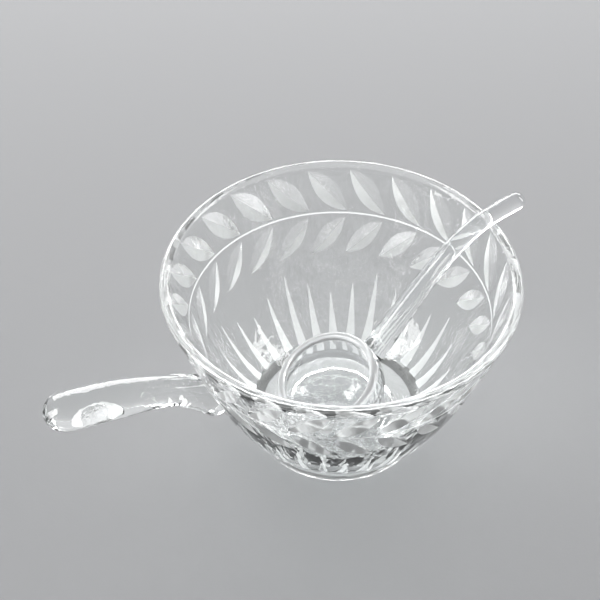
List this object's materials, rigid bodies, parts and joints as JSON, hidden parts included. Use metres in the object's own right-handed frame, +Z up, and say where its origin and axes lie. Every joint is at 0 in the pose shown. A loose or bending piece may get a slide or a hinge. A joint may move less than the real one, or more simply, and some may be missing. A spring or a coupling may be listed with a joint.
{
  "type": "punch bowl",
  "caption": "Small footed clear glass serving bowl with one side handle, cut leaf and ray bands, and a loose glass ladle resting in it.",
  "frame": {"origin": "centre of the foot, on the plane the bowl stands on", "axes": "+Z up along the bowl's axis; the bowl's handle points along -X; the ladle's rod lies over the rim towards +X"},
  "size_m": [0.2028, 0.14, 0.0916],
  "materials": {
    "bowl_glass": "clear colourless glass, fire polished, with lightly satin cut facets",
    "ladle_glass": "clear colourless glass, fire polished"
  },
  "bodies": {
    "bowl": {"bowl_body": "bowl_glass", "bowl_handle": "bowl_glass"},
    "ladle": {"ladle_cup": "ladle_glass", "ladle_handle": "ladle_glass"}
  },
  "joints": [
    {"name": "ladle_lift", "type": "slide", "parent": "bowl", "child": "ladle", "axis": [0, 0, 1], "range_m": [0, 0.11]}
  ]
}
